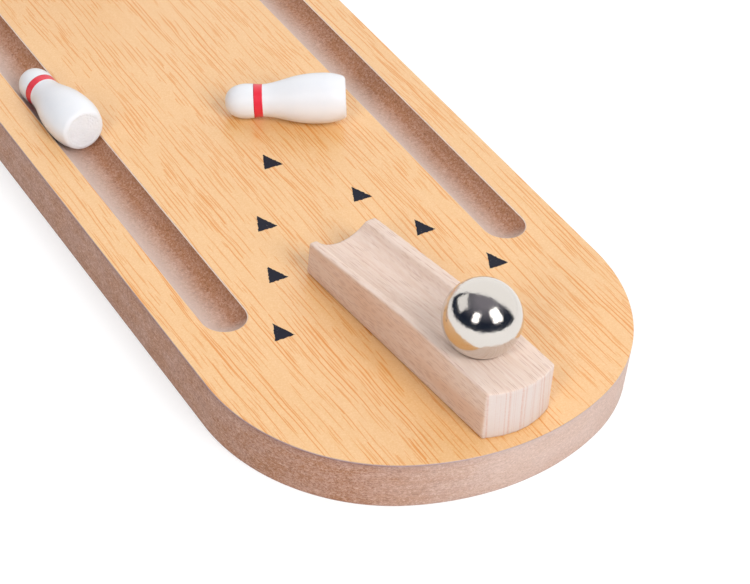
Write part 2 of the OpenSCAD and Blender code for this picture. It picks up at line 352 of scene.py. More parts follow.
def wood_grain_sheet(settings):
    """Printed melamine sheet, pressed smooth, with a paper core. The eye sees a light warm
    ground with thin crisp strokes along the lane, in loose groups, under a satin surface, with a
    pale paper line round each gutter and a greyer one round the board."""
    material, tree = new_material("Melamine sheet with printed wood grain")
    place = millimetres(tree)
    # Slow changes, by how many of them there are to a millimetre across and along the lane
    slow = ((0.03, 0.006, 1), (0.12, 0.06, 1), (0.09, 0.02, 1), (0.5, 0.02, 1))
    drift, wobble, group, cloud = (
        add(tree, "ShaderNodeTexNoise", {"Vector": millimetres(tree, scale), "Scale": 1.0}, 0)
        for scale in slow
    )
    dots = add(tree, "ShaderNodeTexNoise", {"Vector": place, "Scale": 2.2, "Detail": 1.0}, 0)
    x, y = (add(tree, "ShaderNodeSeparateXYZ", {"Vector": place}, axis) for axis in range(2))
    across = x + (drift - 0.5) * 10 + (wobble - 0.5) * 1.1
    crowd = group.rising(0.36, 0.66)
    # Spacing, run and half width of the long, middle and short strokes, the least share of cells
    # that hold one, what a crowd adds to that share, and a seed
    kinds = (
        (1.8, 58.0, 0.19, 0.4, 0.5, 3.0),
        (1.3, 24.0, 0.19, 0.2, 0.55, 9.0),
        (1.05, 9.5, 0.18, 0.1, 0.42, 17.0),
    )
    long, middle, short = (
        strokes(tree, across, y, spacing, run, half, least + crowd * more, seed)
        for spacing, run, half, least, more, seed in kinds
    )
    ink = long.most(middle).most(short * 0.85) * (0.75 + 0.5 * dots).least(1)
    way = add(tree, "ShaderNodeTexCoord", {}, "Normal")
    up = add(tree, "ShaderNodeSeparateXYZ", {"Vector": way}, 2)
    outside = add(tree, "ShaderNodeAttribute", {}, "Fac", attribute_name="outside")
    papers = {"Factor": outside, "A": linear("#FFFDFC"), "B": linear("#9C878C")}
    paper_edge = add(tree, "ShaderNodeMix", papers, "Result", data_type="RGBA")
    coats = [
        (dots.rising(0.46, 0.3) * 0.6, linear("#F1C78F")),
        (cloud.rising(0.35, 0.75) * 0.25 + dots.rising(0.5, 0.7) * 0.35, linear("#E2AA62")),
        (ink, settings.grain_colour),
        (1 - up.rising(0.4, 0.98), paper_edge),
    ]
    finish = {
        "Roughness": 0.36,
        "Specular IOR Level": 0.85,
        "Coat Weight": 0.5,
        "Coat Roughness": 0.3,
    }
    surface(tree, settings.sheet_colour, coats, finish, 0 - ink, strength=0.15, distance=0.02)
    return material


def fibreboard(settings):
    """Medium-density fibreboard, sawn and routed. The eye sees matted brown fibres with pale
    threads and dark specks. Painted sheen makes them paler on the left wall and near end of a
    gutter and on the right-hand edge. They are darker towards the sheet, most in a line just under
    it, and painted shade darkens the lowest 0.8 mm, where the board meets the floor. The fibres
    are drawn coarser than real ones, so that they show."""
    material, tree = new_material("Medium-density fibreboard, routed")
    level = millimetres(tree, (1, 1, 1.7))
    # Mats, curls and hairs of fibre, clouds, and the layers that the press left
    noises = (
        {"Vector": level, "Scale": 1.1, "Detail": 3.0, "Roughness": 0.8, "Distortion": 0.6},
        {"Vector": level, "Scale": 0.6, "Detail": 2.0, "Distortion": 2.2},
        {"Vector": level, "Scale": 0.22, "Detail": 1.0, "Distortion": 3.0},
        {"Vector": millimetres(tree, (0.11, 0.11, 0.2)), "Scale": 1.0, "Detail": 2.0},
        {"Vector": millimetres(tree, (0.05, 0.05, 1.3)), "Scale": 1.0},
    )
    matted, curly, hairy, cloud, layered = (add(tree, "ShaderNodeTexNoise", noise, 0) for noise in noises)
    specks = add(tree, "ShaderNodeTexVoronoi", {"Vector": level, "Scale": 0.8}, "Distance")
    place = millimetres(tree)
    across, height = (add(tree, "ShaderNodeSeparateXYZ", {"Vector": place}, axis) for axis in (0, 2))
    way = add(tree, "ShaderNodeTexCoord", {}, "Normal")
    aside, ahead, up = (add(tree, "ShaderNodeSeparateXYZ", {"Vector": way}, axis) for axis in range(3))
    upright = 1 - abs(up).rising(0.05, 0.35)
    ridge = 1 - abs(curly - 0.5).rising(0.0, 0.05)
    hair = (1 - abs(hairy - 0.5).rising(0.0, 0.012)) * curly.rising(0.52, 0.6) * upright
    fibre = matted.rising(0.5, 0.64) * 0.6 + ridge * 0.45 + layered.rising(0.4, 0.7) * 0.2 + hair * 0.8
    pit = matted.rising(0.48, 0.36) * 0.7 + specks.rising(0.22, 0.08) * 0.9
    top = CORE_HIGH.z / MM
    # Darker towards the sheet on the outer edges, most in a line just under it
    darker_under_sheet = (height.rising(top - 2.5, top) * 0.25 + height.rising(top - 0.5, top - 0.1) * 0.4) * upright
    # Painted sheen: paler where light grazes the left wall and near end of a gutter, and towards the
    # right-hand edge
    gutter_sheen = (aside + ahead).rising(-0.4, 0.65) * (1 - upright)
    right_edge_sheen = across.rising(-45, -5) * (1 - 0.3 * across.rising(25, 55)) * (0.36 + matted * 0.2)
    coats = [
        (cloud.rising(0.38, 0.62) * (0.35 + upright * 0.45), linear("#A87D68")),
        (fibre.least(1) * (0.55 + upright * 0.25), settings.fibre_colour),
        (pit.least(1) * 0.7, settings.speck_colour),
        # Painted shade along the lowest 0.8 mm, where the board meets the floor, added to the darker line
        # under the sheet
        (darker_under_sheet + height.rising(0.8, 0.0) * 0.3, linear("#6E5A66")),
        # Painted sheen, pale where light grazes
        (gutter_sheen * 0.68 + right_edge_sheen * upright, linear("#E4D3CA")),
    ]
    finish = {
        "Roughness": 0.6,
        "Specular IOR Level": 0.3,
        "Sheen Weight": 0.22,
        "Sheen Roughness": 0.24,
        "Sheen Tint": linear("#FFFFFF"),
    }
    surface(tree, settings.core_colour, coats, finish, matted + curly, strength=0.5, distance=0.12)
    return material


def printing_ink(settings):
    """Screen-printed ink. The eye sees a flat soft black with a few pinholes."""
    material, tree = new_material("Screen-printed ink")
    grit = add(tree, "ShaderNodeTexNoise", {"Vector": millimetres(tree), "Scale": 2.2, "Detail": 2.0}, 0)
    coats = [(grit.rising(0.66, 0.76) * 0.5, linear("#8A7C78"))]
    surface(tree, settings.ink_colour, coats, {"Roughness": 0.6, "Specular IOR Level": 0.2})
    return material


def beech(settings, pivot):
    """Steamed beech, planed and sanded. The eye sees pinkish growth rings standing on edge on
    top and on the ends, and the short dark ends of the rays on the sides."""
    material, tree = new_material("Steamed beech, sanded")
    turned = settings.turned
    place = millimetres(tree, (1, 1, 1), turned, pivot)
    x, y, z = (add(tree, "ShaderNodeSeparateXYZ", {"Vector": place}, axis) for axis in range(3))
    slow = millimetres(tree, (0.06, 0.012, 0.012), turned, pivot)
    bend = add(tree, "ShaderNodeTexNoise", {"Vector": slow, "Scale": 1.0, "Detail": 1.0}, 0)
    long = millimetres(tree, (1.6, 0.14, 1.6), turned, pivot)
    fuzz = add(tree, "ShaderNodeTexNoise", {"Vector": long, "Scale": 1.0, "Detail": 4.0, "Roughness": 0.6}, 0)
    wide = millimetres(tree, (0.2, 0.03, 0.2), turned, pivot)
    cloud = add(tree, "ShaderNodeTexNoise", {"Vector": wide, "Scale": 1.0}, 0)
    across = x + z * 0.06 + (bend - 0.5) * 6
    layers = {"W": across, "Scale": 0.85, "Detail": 2.0, "Roughness": 0.65}
    rings = add(tree, "ShaderNodeTexNoise", layers, 0, noise_dimensions="1D").rising(0.5, 0.64)
    bowed = z + (bend - 0.5) * 5
    rays = strokes(tree, bowed, y, spacing=0.42, run=3.6, half=0.11, share=0.6, seed=7.0)
    pores = strokes(tree, across, y, spacing=0.55, run=5.0, half=0.11, share=0.35, seed=11.0)
    way = add(tree, "ShaderNodeTexCoord", {}, "Normal")
    sideways, endways, upright = (
        add(tree, "ShaderNodeSeparateXYZ", {"Vector": way}, axis) ** 2 for axis in range(3)
    )
    ends = endways * (0.32 + 0.45 * fuzz.rising(0.35, 0.6))
    coats = [
        (fuzz.rising(0.35, 0.75) * 0.6 + cloud.rising(0.4, 0.8) * 0.3, linear("#DCBFA9")),
        # Darker, warmer clouds on the sides: painted shade as well as the side grain's own tone
        (sideways * cloud.rising(0.3, 0.8) * 0.6, linear("#DCB094")),
        (endways * 0.85, linear("#CCC0BB")),
        (rings * (ends + upright * 0.28), settings.ring_colour),
        (rays * sideways * 0.5 + pores * upright * 0.5, settings.ray_colour),
    ]
    finish = {"Roughness": 0.5, "Specular IOR Level": 0.35}
    surface(tree, settings.wood_colour, coats, finish, fuzz, strength=0.2, distance=0.06)
    return material


def polished_steel(settings):
    """Bearing steel, ground and polished. The eye sees a mirror, a little softer in places, with
    a faint ripple that frays the edges of what it shows."""
    material, tree = new_material("Bearing steel, polished")
    smears = add(tree, "ShaderNodeTexNoise", {"Vector": millimetres(tree), "Scale": 0.22}, 0)
    rough = 0.14 + smears.rising(0.5, 0.8) * 0.06
    ripple = add(tree, "ShaderNodeTexNoise", {"Vector": millimetres(tree), "Scale": 0.9, "Detail": 2.0}, 0)
    finish = {"Metallic": 1.0, "Roughness": rough}
    surface(tree, settings.steel_colour, [], finish, ripple, strength=1.0, distance=0.045)
    return material


def plated_steel(settings):
    """Zinc-plated steel, turned and tumbled. The eye sees a grey metal with a soft mottle."""
    material, tree = new_material("Zinc-plated steel, tumbled")
    mottle = add(tree, "ShaderNodeTexNoise", {"Vector": millimetres(tree), "Scale": 1.6, "Detail": 4.0}, 0)
    finish = {"Metallic": 1.0, "Roughness": 0.28 + mottle * 0.22}
    coats = [(mottle, linear("#A9ACB2"))]
    surface(tree, settings.steel_colour, coats, finish, mottle, strength=0.2, distance=0.02)
    return material


def enamel(name, ground, shade):
    """Dipped enamel on turned wood. The eye sees a glossy coat that lies a little unevenly,
    and on the base a duller coat that shows the turning rings, 0.9 mm apart, and the end grain."""
    material, tree = new_material(name)
    rise = add(tree, "ShaderNodeAttribute", {}, "Fac", attribute_name="rise")
    off_axis = add(tree, "ShaderNodeAttribute", {}, "Fac", attribute_name="off_axis")
    uneven = add(tree, "ShaderNodeTexNoise", {"Vector": millimetres(tree), "Scale": 0.35}, 0)
    grit = add(tree, "ShaderNodeTexNoise", {"Vector": millimetres(tree), "Scale": 1.7, "Detail": 2.0}, 0)
    face = rise.under(0.05)
    rough = 0.4 + face * 0.24 + (uneven - 0.5) * 0.12
    rings = (off_axis * 7 + uneven * 5).math("SINE")
    relief = uneven * 0.6 + grit * (0.06 + face * 20) + rings * face * 1.7
    finish = {"Roughness": rough, "Coat Weight": 0.25, "Coat Roughness": 0.2}
    coats = [(uneven.rising(0.45, 0.8) * 0.4, shade)]
    surface(tree, ground, coats, finish, relief, strength=0.35, distance=0.08)
    return material


def paper(settings):
    """Seamless background paper, lit from below as on a light table. The eye sees an even
    white with the faintest tooth."""
    material, tree = new_material("Seamless white paper")
    tooth = add(tree, "ShaderNodeTexNoise", {"Vector": millimetres(tree), "Scale": 0.8}, 0)
    finish = {
        "Roughness": 0.9,
        "Specular IOR Level": 0.1,
        "Emission Color": linear("#FFFFFF"),
        "Emission Strength": settings.floor_glow,
    }
    surface(tree, settings.floor_colour, [(tooth * 0.1, linear("#B0B0B0"))], finish)
    return material


# Meshes

# Vertices closer together than this are made one, at a seam or pole and in a finished mesh
SEAM = 0.001 * MM
SAME = 0.0001 * MM
# An edge that turns by more than this stays sharp
SHARP = math.radians(25)


def ring(bm, outline, height):
    """Adds a ring of vertices at one height."""
    return [bm.verts.new((x, y, height)) for x, y in outline]


def wall(bm, first, second):
    """Joins two rings of as many vertices by a strip of faces."""
    for i in range(len(first)):
        bm.faces.new((first[i - 1], first[i], second[i], second[i - 1]))


def cover(bm, *rings):
    """Covers the flat area inside the first ring and outside the others."""
    edges = []
    for vertices in rings:
        for i, vertex in enumerate(vertices):
            pair = (vertices[i - 1], vertex)
            edges.append(bm.edges.get(pair) or bm.edges.new(pair))
    bmesh.ops.triangle_fill(bm, edges=edges, use_beauty=True)


def circle(radius, centre=(0.0, 0.0), sides=64):
    """Points round a circle."""
    steps = [2 * math.pi * i / sides for i in range(sides)]
    return [(centre[0] + radius * math.cos(a), centre[1] + radius * math.sin(a)) for a in steps]


def quarter(steps):
    """Cosine and sine of each step from 0 to 90 degrees."""
    turns = [math.pi / 2 * i / steps for i in range(steps + 1)]
    return [(math.cos(a), math.sin(a)) for a in turns]


def lathe(bm, outline, sides=64, centre=(0.0, 0.0)):
    """Turns an outline of radius and height pairs about a vertical axis."""
    rings = [ring(bm, circle(max(radius, SAME), centre, sides), height) for radius, height in outline]
    for first, second in zip(rings, rings[1:]):
        wall(bm, first, second)
    bmesh.ops.remove_doubles(bm, verts=bm.verts, dist=SEAM)


def in_scene(name, data):
    """Adds an object with its data to the scene."""
    thing = bpy.data.objects.new(name, data)
    bpy.context.scene.collection.objects.link(thing)
    return thing


def mesh_object(bm, name):
    """Turns finished mesh code into an object, smooth but for its sharp edges."""
    bmesh.ops.remove_doubles(bm, verts=bm.verts, dist=SAME)
    bmesh.ops.recalc_face_normals(bm, faces=bm.faces)
    for face in bm.faces:
        face.smooth = True
    for edge in bm.edges:
        edge.smooth = edge.is_manifold and edge.calc_face_angle() < SHARP
    mesh = bpy.data.meshes.new(name)
    bm.to_mesh(mesh)
    bm.free()
    return in_scene(name, mesh)


def settled(thing):
    """Turns an object's modifiers into plain mesh."""
    bpy.context.view_layer.update()
    graph = bpy.context.evaluated_depsgraph_get()
    evaluated = thing.evaluated_get(graph)
    mesh = bpy.data.meshes.new_from_object(evaluated, preserve_all_data_layers=True, depsgraph=graph)
    thing.modifiers.clear()
    thing.data = mesh
    mesh.name = thing.name
    return thing


def cut(thing, cutter):
    """Takes a cutter's space out of an object and throws the cutter away."""
    modifier = thing.modifiers.new("Cut", "BOOLEAN")
    modifier.object = cutter
    modifier.operation = "DIFFERENCE"
    modifier.solver = "EXACT"
    settled(thing)
    bpy.data.objects.remove(cutter)


def dress(thing, material, body, slot, *nodes):
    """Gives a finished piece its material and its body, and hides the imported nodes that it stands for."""
    thing.data.materials.clear()
    thing.data.materials.append(material)
    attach(thing, body)
    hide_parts(*nodes)


def geometry_group(name, inputs, kind, output):
    """Makes a node group. Its inputs' names are given in lists by their kind, and its one output
    with its kind. Gives back the group and its inputs by name."""
    tree = bpy.data.node_groups.new(name, "GeometryNodeTree")
    for input_kind, labels in inputs.items():
        for label in labels:
            tree.interface.new_socket(label, in_out="INPUT", socket_type=f"NodeSocket{input_kind}")
    tree.interface.new_socket(output, in_out="OUTPUT", socket_type=f"NodeSocket{kind}")
    sockets = add(tree, "NodeGroupInput").outputs
    return tree, {socket.name: Value(socket) for socket in sockets if socket.name}


def grown(name, tree, values, material):
    """Runs a Geometry Nodes tree with its named inputs and keeps the mesh that it makes."""
    thing = in_scene(name, bpy.data.meshes.new(name))
    modifier = thing.modifiers.new("Shape", "NODES")
    modifier.node_group = tree
    sockets = {item.name: item.identifier for item in tree.interface.items_tree if item.in_out == "INPUT"}
    for key, value in {**values, "Material": material}.items():
        modifier[sockets[key]] = value
    return settled(thing)


# Board


def board_outline(settings, inset=0.0):
    """The board seen from above, drawn in by an inset: straight sides, corner arcs and a
    flatter arc across each end."""
    corner_x = CORE_HIGH.x - settings.corner_radius
    end_y = CORE_HIGH.y - settings.end_radius
    corner_y = end_y + math.sqrt((settings.end_radius - settings.corner_radius) ** 2 - corner_x**2)
    meeting = math.atan2(corner_y - end_y, corner_x)
    corner_steps, end_steps = 40, 36
    quadrant = []
    for i in range(corner_steps):
        a = meeting * i / corner_steps
        r = settings.corner_radius - inset
        quadrant.append((corner_x + r * math.cos(a), corner_y + r * math.sin(a)))
    for i in range(end_steps + 1):
        a = meeting + (math.pi / 2 - meeting) * i / end_steps
        r = settings.end_radius - inset
        quadrant.append((r * math.cos(a), end_y + r * math.sin(a)))
    far = quadrant + [(-x, y) for x, y in reversed(quadrant[:-1])]
    return far + [(-x, -y) for x, y in far]


def gutter_outline(settings, side, radius, steps=24):
    """A gutter seen from above at one level: a slot with round ends of a given radius."""
    x = side * (CORE_HIGH.x - settings.gutter_inset)
    start = CORE_LOW.y + settings.gutter_near
    end = CORE_HIGH.y - settings.gutter_far
    turns = [math.pi * i / steps for i in range(steps + 1)]
    far = [(x + radius * math.cos(a), end + radius * math.sin(a)) for a in turns]
    near = [(x - radius * math.cos(a), start - radius * math.sin(a)) for a in turns]
    return far + near


def cutter_middle(settings):
    """Height of the middle of the cutter's round nose, at the end of its cut."""
    return SHEET_HIGH.z + settings.cutter_radius - settings.gutter_depth


def gutter_reach(settings, height):
    """Half the width of a gutter at one height."""
    return math.sqrt(settings.cutter_radius**2 - (cutter_middle(settings) - height) ** 2)


def make_core(settings, counterbore_roof):
    """Fibreboard core with both gutters, the counterbore and the hole for the screw."""
    bm = bmesh.new()
    ease = settings.edge_round
    rounding = [ring(bm, board_outline(settings, ease - ease * s), ease - ease * c) for c, s in quarter(4)]
    rim = ring(bm, board_outline(settings), CORE_HIGH.z)
    for first, second in zip(rounding, rounding[1:] + [rim]):
        wall(bm, first, second)
    openings = []
    steps = 22
    middle = cutter_middle(settings)
    reach = math.acos((middle - CORE_HIGH.z) / settings.cutter_radius)
    for side in (-1, 1):
        rows = []
        for i in range(steps + 1):
            a = reach * (1 - i / steps)
            radius = settings.cutter_radius * math.sin(a)
            height = middle - settings.cutter_radius * math.cos(a)
            rows.append(ring(bm, gutter_outline(settings, side, radius), height))
        for first, second in zip(rows, rows[1:]):
            wall(bm, first, second)
        openings.append(rows[0])
    chamfer = 0.4 * MM
    wide = settings.counterbore_radius
    mouth = ring(bm, circle(wide + chamfer, PIVOT), 0)
    throat = [ring(bm, circle(wide, PIVOT), z) for z in (chamfer, counterbore_roof)]
    hole = [ring(bm, circle(settings.hole_radius, PIVOT), z) for z in (counterbore_roof, CORE_HIGH.z)]
    wall(bm, mouth, throat[0])
    wall(bm, *throat)
    wall(bm, *hole)
    cover(bm, rounding[0], mouth)
    cover(bm, throat[1], hole[0])
    cover(bm, rim, *openings, hole[1])
    return mesh_object(bm, "fibreboard_core")


def make_sheet(settings):
    """Wood-grain sheet with its worn edges, open over the gutters and the screw. An attribute
    marks the board's own edge, for the material."""
    bm = bmesh.new()
    outside = bm.verts.layers.float.new("outside")
    low, high, wear = CORE_HIGH.z, SHEET_HIGH.z, settings.rim_wear
    levels = [(low, 0), (high - wear, 0), (high, wear)]
    outer = [ring(bm, board_outline(settings, inset), z) for z, inset in levels]
    for vertex in sum(outer, []):
        vertex[outside] = 1.0
    sets = [outer]
    for side in (-1, 1):
        reaches = [(z, gutter_reach(settings, z) + inset) for z, inset in levels]
        sets.append([ring(bm, gutter_outline(settings, side, reach), z) for z, reach in reaches])
    hole = circle(settings.hole_radius, PIVOT)
    sets.append([ring(bm, hole, z) for z, _ in levels])
    for rings in sets:
        for first, second in zip(rings, rings[1:]):
            wall(bm, first, second)
    cover(bm, *[rings[0] for rings in sets])
    cover(bm, *[rings[-1] for rings in sets])
    return mesh_object(bm, "wood_grain_sheet")


def marks_tree():
    """Geometry Nodes: a mark of ink on each point of a mesh, each with its own ragged edge."""
    inputs = {
        "Object": ["Points"],
        "Int": ["Sides", "Fineness"],
        "Float": ["Width", "Length", "Thickness", "Ragged"],
        "Material": ["Material"],
    }
    tree, given = geometry_group("Printed marks", inputs, "Geometry", "Geometry")
    points = add(tree, "GeometryNodeObjectInfo", {"Object": given["Points"]}, "Geometry")
    corners = {"Vertices": given["Sides"], "Radius": 1.0}
    disc = add(tree, "GeometryNodeMeshCircle", corners, 0, fill_type="NGON")
    size = add(tree, "ShaderNodeCombineXYZ", {"X": given["Length"], "Y": given["Width"], "Z": 1.0}, 0)
    sized = add(tree, "GeometryNodeTransform", {"Geometry": disc, "Scale": size}, 0)
    turned = add(tree, "GeometryNodeTransform", {"Geometry": sized, "Rotation": (0, 0, math.pi / 2)}, 0)
    dense = add(tree, "GeometryNodeSubdivideMesh", {"Mesh": turned, "Level": given["Fineness"]}, 0)
    placed = add(tree, "GeometryNodeInstanceOnPoints", {"Points": points, "Instance": dense}, 0)
    real = add(tree, "GeometryNodeRealizeInstances", {"Geometry": placed}, 0)
    spot = add(tree, "GeometryNodeInputPosition", {}, 0)
    stray = add(tree, "ShaderNodeTexNoise", {"Vector": spot, "Scale": 1 / (0.8 * MM), "Detail": 3.0}, "Color")
    centred = add(tree, "ShaderNodeVectorMath", {0: stray, 1: (0.5, 0.5, 0.5)}, 0, operation="SUBTRACT")
    flat = add(tree, "ShaderNodeVectorMath", {0: centred, 1: (2.0, 2.0, 0.0)}, 0, operation="MULTIPLY")
    offset = add(tree, "ShaderNodeVectorMath", {0: flat, "Scale": given["Ragged"]}, 0, operation="SCALE")
    ragged = add(tree, "GeometryNodeSetPosition", {"Geometry": real, "Offset": offset}, 0)
    rise = add(tree, "ShaderNodeCombineXYZ", {"Z": given["Thickness"]}, 0)
    lifted = {"Mesh": ragged, "Offset": rise, "Individual": False}
    raised = add(tree, "GeometryNodeExtrudeMesh", lifted, 0, mode="FACES")
    under = add(tree, "GeometryNodeFlipFaces", {"Mesh": ragged}, 0)
    both = add(tree, "GeometryNodeJoinGeometry")
    for part in (raised, under):
        tree.links.new(part.socket, both.inputs[0])
    merged = {"Geometry": Value(both.outputs[0]), "Distance": SEAM}
    closed = add(tree, "GeometryNodeMergeByDistance", merged, 0)
    painted = add(tree, "GeometryNodeSetMaterial", {"Geometry": closed, "Material": given["Material"]}, 0)
    add(tree, "NodeGroupOutput", {"Geometry": painted})
    return tree


def solid_centres(node):
    """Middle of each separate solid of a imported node, on the board's top."""
    bm = bmesh.new()
    bm.from_mesh(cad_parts[node].data)
    bmesh.ops.remove_doubles(bm, verts=bm.verts, dist=SEAM)
    left, centres = set(bm.verts), []
    while left:
        island, front = set(), {left.pop()}
        while front:
            vertex = front.pop()
            island.add(vertex)
            front |= {edge.other_vert(vertex) for edge in vertex.link_edges} - island
        left -= island
        flat = sorted({(round(v.co.x, 7), round(v.co.y, 7)) for v in island})
        x, y = (sum(places) / len(flat) for places in zip(*flat))
        centres.append((x, y, SHEET_HIGH.z))
    bm.free()
    return sorted(centres)


def make_marks(name, node, sides, fineness, wide, long, settings, material):
    """A set of printed marks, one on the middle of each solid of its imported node."""
    points = bpy.data.meshes.new("points")
    points.from_pydata(solid_centres(node), [], [])
    holder = in_scene("points", points)
    values = {
        "Points": holder,
        "Sides": sides,
        "Fineness": fineness,
        "Width": wide,
        "Length": long,
        "Thickness": INK_HIGH.z - SHEET_HIGH.z,
        "Ragged": settings.ragged,
    }
    thing = grown(name, marks_tree(), values, material)
    bpy.data.objects.remove(holder)
    return thing


# Ramp

# Fineness of the mesh that is sanded, and how far one pass moves a point towards its neighbours
SANDED_MESH = 0.34 * MM
SANDING_SHARE = 0.5


def ramp_place(settings):
    """Moves the ramp's own frame, pivot at the origin and mouth towards +Y, to its place."""
    return Matrix.Translation((*PIVOT, RAMP_LOW.z)) @ Matrix.Rotation(settings.turned, 4, "Z")


def ramp_slope(settings):
    """Angle by which the ramp's front slopes down."""
    return math.atan2(settings.height - settings.mouth_height, settings.front - settings.level)


def make_ramp_block(settings):
    """Sawn block: level back, sloping front and a round back end that leans a little. It is sawn
    too tall, and then planed down to its two top planes."""
    bm = bmesh.new()
    half, r = settings.width / 2, settings.back_radius
    steps = 24
    spread = math.asin(half / r)
    tall = settings.height + 2 * MM

    def plan(height):
        """The block seen from above, at one height."""
        drawn_in = height * math.tan(settings.lean)
        turns = [spread * (2 * i / steps - 1) for i in range(steps + 1)]
        back = [(r * math.sin(a), r - settings.back + drawn_in - r * math.cos(a)) for a in turns]
        return back + [(half, settings.front), (-half, settings.front)]

    low, high = ring(bm, plan(0), 0), ring(bm, plan(tall), tall)
    wall(bm, low, high)
    bm.faces.new(low)
    bm.faces.new(high)
    slope = ramp_slope(settings)
    planes = [
        (Vector((0, 0, settings.height)), Vector((0, 0, 1))),
        (Vector((0, settings.front, settings.mouth_height)), Vector((0, math.sin(slope), math.cos(slope)))),
    ]
    for point, normal in planes:
        everything = bm.verts[:] + bm.edges[:] + bm.faces[:]
        made = bmesh.ops.bisect_plane(bm, geom=everything, plane_co=point, plane_no=normal, clear_outer=True)
        edges = [e for e in made["geom_cut"] if isinstance(e, bmesh.types.BMEdge)]
        bmesh.ops.edgeloop_fill(bm, edges=edges)
    return mesh_object(bm, "beech_ramp")


def make_groove_cutter(settings):
    """Round-nosed bar that cuts the groove, laid along the slope."""
    bm = bmesh.new()
    r = settings.groove_radius
    nose = [(r * s, -r * c) for c, s in quarter(24)]
    bar = settings.front + settings.seat_back + r
    lathe(bm, nose + [(r, bar), (0, bar)], sides=128)
    slope = ramp_slope(settings)
    top = settings.mouth_height + (settings.front + settings.seat_back) * math.tan(slope)
    start = Matrix.Translation((-settings.groove_shift, -settings.seat_back, top))
    above = Matrix.Translation((0, 0, r - settings.groove_depth))
    along = Matrix.Rotation(-slope, 4, "X") @ above @ Matrix.Rotation(-math.pi / 2, 4, "X")
    bmesh.ops.transform(bm, matrix=start @ along, verts=bm.verts)
    return mesh_object(bm, "groove_cutter")


def make_ramp(settings, pilot_radius, pilot_depth):
    """Ramp with its groove and pilot hole, its edges rounded over as by sanding."""
    block = make_ramp_block(settings)
    cut(block, make_groove_cutter(settings))
    bm = bmesh.new()
    lathe(bm, [(0, -MM), (pilot_radius, -MM), (pilot_radius, pilot_depth), (0, pilot_depth)])
    cut(block, mesh_object(bm, "pilot_cutter"))
    remesh = block.modifiers.new("Fine mesh", "REMESH")
    remesh.mode = "VOXEL"
    remesh.voxel_size = SANDED_MESH
    smooth = block.modifiers.new("Sanding", "SMOOTH")
    smooth.factor = SANDING_SHARE
    smooth.iterations = settings.sanding
    settled(block)
    block.data.transform(ramp_place(settings))
    for polygon in block.data.polygons:
        polygon.use_smooth = True
    return block


# Pivot


def make_screw(settings):
    """Pan-head screw, its head down and its cross recess open downwards."""
    bm = bmesh.new()
    low, tall = SCREW_LOW.z, settings.head_height
    head, shank = settings.head_radius, settings.screw_radius
    ease, point = 0.15 * MM, 1.2 * MM
    dome_share, tip_share = 0.62, 0.55
    dome = [(head * s, low + tall * dome_share * (1 - c)) for c, s in quarter(14)]
    stem = [
        (head, low + tall - ease),
        (head - ease, low + tall),
        (shank, low + tall),
        (shank, SCREW_HIGH.z - point),
        (shank * tip_share, SCREW_HIGH.z),
        (0, SCREW_HIGH.z),
    ]
    lathe(bm, dome + stem, centre=PIVOT)
    screw = mesh_object(bm, "pan_head_screw")
    half = settings.recess_width / 2
    # Half the length of the recess's arms and its height, below its mouth and at its bottom
    arm = ((0.625 * head, low - MM), (0.375 * head, low + settings.recess_depth))
    for a in (0, math.pi / 2):
        bm = bmesh.new()
        ends = [ring(bm, [(-x, -half), (x, -half), (x, half), (-x, half)], z) for x, z in arm]
        wall(bm, *ends)
        for end in ends:
            bm.faces.new(end)
        place = Matrix.Translation((*PIVOT, 0)) @ Matrix.Rotation(a, 4, "Z")
        bmesh.ops.transform(bm, matrix=place, verts=bm.verts)
        cut(screw, mesh_object(bm, "recess_cutter"))
    return screw


def make_washer(settings):
    """Flat washer with eased edges."""
    bm = bmesh.new()
    outer = (WASHER_HIGH.x - WASHER_LOW.x) / 2
    inner, ease = settings.washer_hole, 0.12 * MM
    low, high = WASHER_LOW.z, WASHER_HIGH.z
    outline = [
        (inner, low + ease),
        (inner + ease, low),
        (outer - ease, low),
        (outer, low + ease),
        (outer, high - ease),
        (outer - ease, high),
        (inner + ease, high),
        (inner, high - ease),
        (inner, low + ease),
    ]
    lathe(bm, outline, centre=PIVOT)
    return mesh_object(bm, "steel_washer")


# Ball


def make_ball(settings):
    """Ball of even facets, fine enough for a clean mirror."""
    bm = bmesh.new()
    bmesh.ops.create_icosphere(bm, subdivisions=6, radius=settings.diameter / 2)
    bmesh.ops.translate(bm, vec=(BALL_LOW + BALL_HIGH) / 2, verts=bm.verts)
    return mesh_object(bm, "steel_ball")


# Pins

PIN_SIZES = (
    "Height",
    "Base radius",
    "Belly radius",
    "Belly height",
    "Neck radius",
    "Neck height",
    "Head radius",
    "Head height",
)
# How square the crown is, and how late the body starts to taper
CROWN = 2.3
TAPER_LAG = 1.35
# Rings along a pin and a band, and columns round them, of which the last closes on the first
PIN_RINGS = 80
BAND_RINGS = 33
COLUMNS = 73


def pin_rule_group():
    """Node group: a pin's radius at a height, from its main sizes. The foot is an arc from the
    base to the belly, and smooth stretches join the belly, the neck, the head and the tip."""
    inputs = {"Float": ["Rise", *PIN_SIZES]}
    tree, given = geometry_group("Pin radius at a height", inputs, "Float", "Radius")
    z, tall, base, belly, belly_z, neck, neck_z, head, head_z = given.values()
    bulge = belly - base
    arc = (belly_z**2 + bulge**2) / (bulge * 2)
    foot = belly - arc + (arc**2 - (belly_z - z) ** 2).most(0) ** 0.5
    taper = z.rising(belly_z, neck_z) ** TAPER_LAG
    body = belly - (belly - neck) * (1 - (taper * math.pi).math("COSINE")) / 2
    swell = z.rising(neck_z, head_z)
    throat = neck + (head - neck) * (1 - (swell * math.pi).math("COSINE")) / 2
    dome = head * (1 - z.rising(head_z, tall) ** CROWN) ** (1 / CROWN)
    radius = foot
    for start, stretch in ((belly_z, body), (neck_z, throat), (head_z, dome)):
        radius = radius + (stretch - radius) * z.over(start)
    add(tree, "NodeGroupOutput", {"Radius": radius})
    return tree


